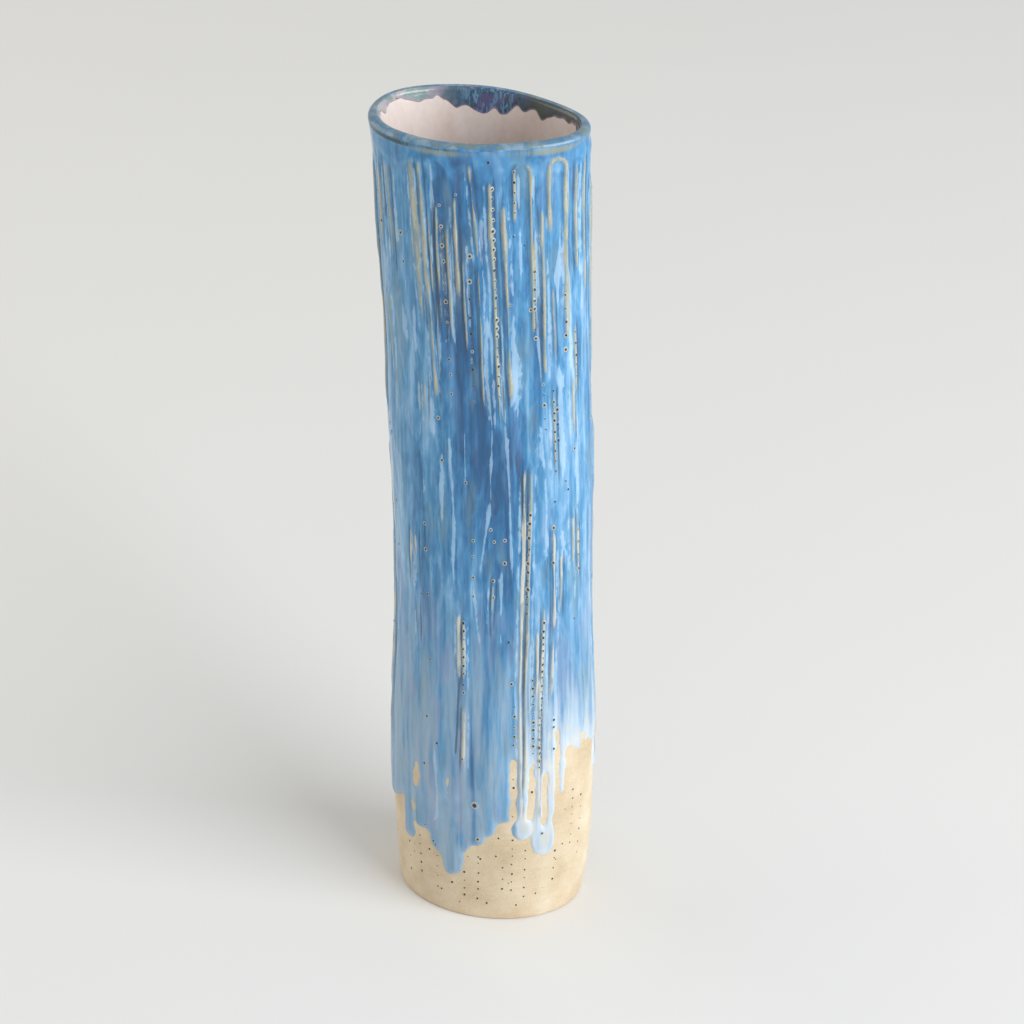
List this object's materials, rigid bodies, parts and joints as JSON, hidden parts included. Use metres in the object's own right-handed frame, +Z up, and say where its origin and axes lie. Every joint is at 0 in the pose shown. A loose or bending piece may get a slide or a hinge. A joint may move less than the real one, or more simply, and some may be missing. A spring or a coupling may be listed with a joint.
{
  "type": "bud vase",
  "caption": "Tall, slim, slab-built ceramic bud vase with an oval section, a flared rounded lip and a glazed water-tight inside.",
  "frame": {"origin": "middle of the foot, on the surface that the vase stands on", "axes": "+Z up along the vase towards its mouth; +X along the long axis of the oval, towards the narrower end of the lip; +Y towards the back"},
  "size_m": [0.0673, 0.0494, 0.26],
  "materials": {
    "clay": "unglazed buff stoneware, matt",
    "slip": "unglazed fired slip, matt",
    "outer_glaze": "glossy mottled blue, running, breaking to tan on raised edges",
    "rim_glaze": "glossy lavender blue over olive",
    "liner_glaze": "glossy pinkish white"
  },
  "bodies": {
    "root": {"wall_slab": "clay", "side_seam": "slip", "base_slab": "clay", "base_seam": "slip", "base_seam_coil": "clay", "liner_glaze": "liner_glaze", "rim_glaze": "rim_glaze", "outer_glaze": "outer_glaze"}
  },
  "joints": []
}
